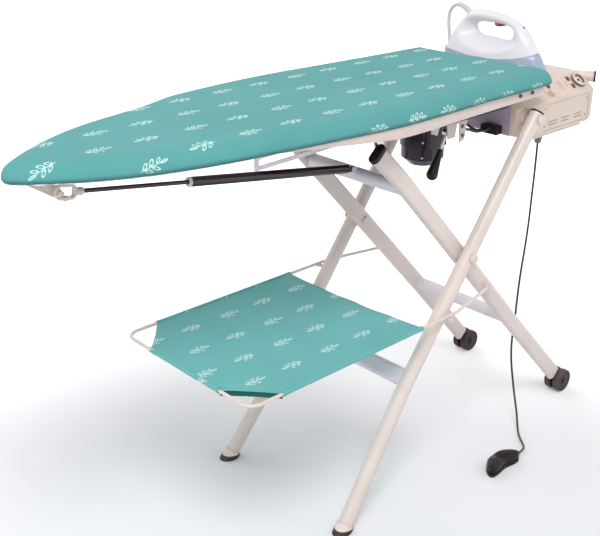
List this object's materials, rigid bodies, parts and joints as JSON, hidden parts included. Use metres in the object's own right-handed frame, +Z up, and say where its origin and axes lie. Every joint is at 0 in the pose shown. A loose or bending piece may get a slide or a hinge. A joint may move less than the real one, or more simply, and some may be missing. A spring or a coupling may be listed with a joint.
{
  "type": "vacuum ironing table",
  "caption": "Folding vacuum ironing table with a padded board, suction fan, boiler box with a steam iron, crossed legs on wheels, clothes shelf, gas spring and foot pedal.",
  "frame": {"origin": "On the floor under the middle of the table's bounding box, without the pedal, its cord and the hose", "axes": "+X from the board's nose to the boiler box, +Y to the back, away from the controls, +Z up"},
  "size_m": [1.4638, 0.5156, 0.9787],
  "materials": {
    "cover_cloth": "woven cotton, teal with a small pale pattern",
    "pad_felt": "plain felt",
    "beige_paint": "smooth enamel",
    "leg_paint": "smooth enamel",
    "box_plastic": "moulded, satin",
    "black_plastic": "moulded",
    "black_rubber": "matt",
    "white_plastic": "moulded, glossy",
    "skirt_plastic": "moulded, blue-grey",
    "red_plastic": "moulded, red",
    "grey_plastic": "moulded, grey",
    "steel": "bright",
    "zinc_steel": "plated",
    "sole_metal": "polished",
    "black_paint": "satin black"
  },
  "bodies": {
    "board": {"ironing_cover": "cover_cloth", "felt_pad": "pad_felt", "perforated_sheet": "zinc_steel", "vacuum_pan": "beige_paint", "guide_rails": "leg_paint", "fan_housing": "black_plastic", "nose_bracket": "leg_paint", "lever_bracket": "beige_paint", "boiler_housing": "box_plastic", "boiler_base": "box_plastic", "side_panel": "box_plastic", "socket_ring": "black_plastic", "gauge_case": "grey_plastic", "switch_bezel": "box_plastic", "indicator_lamp": "red_plastic", "iron_rest": "black_rubber", "hose_gland": "grey_plastic", "iron_hose": "white_plastic", "cord_gland": "grey_plastic", "connector_box": "black_plastic", "control_cables": "black_rubber", "pedal_cord": "black_rubber", "pedal_base": "black_plastic", "case_screws": "steel", "top_pivot_bolts": "leg_paint"},
    "standing_legs": {"b_leg_front": "leg_paint", "b_leg_rear": "leg_paint", "b_crossbar": "leg_paint", "b_feet": "black_rubber", "b_end_caps": "black_plastic", "scissor_bolts": "leg_paint", "shelf_rest_pegs": "leg_paint"},
    "wheeled_legs": {"a_leg_front": "leg_paint", "a_leg_rear": "leg_paint", "a_upper_crossbar": "leg_paint", "a_lower_crossbar": "leg_paint", "a_end_caps": "black_plastic", "slide_bar": "steel", "shelf_hinge_pegs": "leg_paint", "wheel_forks": "black_plastic"},
    "wheel_front_outer": {"wheel_front_outer": "black_rubber"},
    "wheel_front_inner": {"wheel_front_inner": "black_rubber"},
    "wheel_rear_inner": {"wheel_rear_inner": "black_rubber"},
    "wheel_rear_outer": {"wheel_rear_outer": "black_rubber"},
    "shelf": {"shelf_frame": "leg_paint", "shelf_cloth": "cover_cloth"},
    "spring_cylinder": {"gas_cylinder": "black_paint"},
    "spring_rod": {"gas_rod": "steel"},
    "lever": {"lever_rod": "steel", "lever_grip": "black_plastic"},
    "iron": {"iron_soleplate": "sole_metal", "iron_skirt": "skirt_plastic", "iron_body": "white_plastic", "hose_relief": "white_plastic"},
    "iron_trigger": {"iron_trigger": "red_plastic"},
    "gauge_needle": {"gauge_needle": "black_plastic"},
    "rocker_lower": {"rocker_lower": "red_plastic"},
    "rocker_upper": {"rocker_upper": "red_plastic"},
    "steam_knob": {"steam_knob": "grey_plastic"},
    "treadle": {"pedal_treadle": "black_plastic"}
  },
  "joints": [
    {"name": "leg_fold", "type": "hinge", "parent": "board", "child": "standing_legs", "pos_m": [0.43307, 0, 0.785], "axis": [0, 1, 0], "range_deg": [0, 36]},
    {"name": "leg_cross", "type": "hinge", "parent": "standing_legs", "child": "wheeled_legs", "pos_m": [0.22907, 0, 0.515], "axis": [0, 1, 0], "range_deg": [-69.04, 0]},
    {"name": "shelf_swing", "type": "hinge", "parent": "wheeled_legs", "child": "shelf", "pos_m": [0.32707, 0, 0.41], "axis": [0, 1, 0], "range_deg": [0, 40.54]},
    {"name": "spring_swing", "type": "hinge", "parent": "wheeled_legs", "child": "spring_cylinder", "pos_m": [0.04107, 0, 0.716], "axis": [0, 1, 0], "range_deg": [0, 32.68]},
    {"name": "spring_slide", "type": "slide", "parent": "spring_cylinder", "child": "spring_rod", "axis": [-0.9876, 0, 0.1569], "range_m": [-0.202, 0]},
    {"name": "height_lever", "type": "hinge", "parent": "board", "child": "lever", "pos_m": [0.20207, -0.115, 0.786], "axis": [0, 1, 0], "range_deg": [0, 20], "stiffness_Nm_per_rad": 0.8},
    {"name": "iron_lift", "type": "slide", "parent": "board", "child": "iron", "axis": [0, 0, 1], "range_m": [0, 0.06], "deforming": ["iron_hose"]},
    {"name": "steam_trigger", "type": "hinge", "parent": "iron", "child": "iron_trigger", "pos_m": [0.58607, 0.0225, 0.9445], "axis": [1, 0, 0], "range_deg": [0, 6], "stiffness_Nm_per_rad": 0.05, "springref_deg": -5.73},
    {"name": "gauge_turn", "type": "hinge", "parent": "board", "child": "gauge_needle", "pos_m": [0.66507, -0.12553, 0.82403], "axis": [0, -0.6139, 0.7894], "range_deg": [-240, 0]},
    {"name": "switch_lower", "type": "hinge", "parent": "board", "child": "rocker_lower", "pos_m": [0.63507, -0.13381, 0.81759], "axis": [1, 0, 0], "range_deg": [-8, 8]},
    {"name": "switch_upper", "type": "hinge", "parent": "board", "child": "rocker_upper", "pos_m": [0.63507, -0.11645, 0.8311], "axis": [1, 0, 0], "range_deg": [-8, 8]},
    {"name": "steam_valve", "type": "hinge", "parent": "board", "child": "steam_knob", "pos_m": [0.54007, -0.13697, 0.81513], "axis": [0, -0.6139, 0.7894], "range_deg": [-270, 0]},
    {"name": "pedal_press", "type": "hinge", "parent": "board", "child": "treadle", "pos_m": [0.27907, -0.2565, 0.0155], "axis": [1, 0, 0], "range_deg": [0, 2.5], "stiffness_Nm_per_rad": 4, "springref_deg": -2.86},
    {"name": "wheel_front_outer_spin", "type": "hinge", "parent": "wheeled_legs", "child": "wheel_front_outer", "pos_m": [0.68107, -0.154, 0.03], "axis": [0, 1, 0], "continuous": true},
    {"name": "wheel_front_inner_spin", "type": "hinge", "parent": "wheeled_legs", "child": "wheel_front_inner", "pos_m": [0.68107, -0.154, 0.03], "axis": [0, 1, 0], "continuous": true},
    {"name": "wheel_rear_inner_spin", "type": "hinge", "parent": "wheeled_legs", "child": "wheel_rear_inner", "pos_m": [0.68107, 0.154, 0.03], "axis": [0, 1, 0], "continuous": true},
    {"name": "wheel_rear_outer_spin", "type": "hinge", "parent": "wheeled_legs", "child": "wheel_rear_outer", "pos_m": [0.68107, 0.154, 0.03], "axis": [0, 1, 0], "continuous": true}
  ],
  "couplings": [
    {"joint": "leg_cross", "follows": "leg_fold", "ratio": -1.9038},
    {"joint": "shelf_swing", "follows": "leg_fold", "ratio": 1.1121},
    {"joint": "spring_swing", "follows": "leg_fold", "ratio": 0.8939},
    {"joint": "spring_slide", "follows": "leg_fold", "m_per_rad": -0.32046}
  ]
}
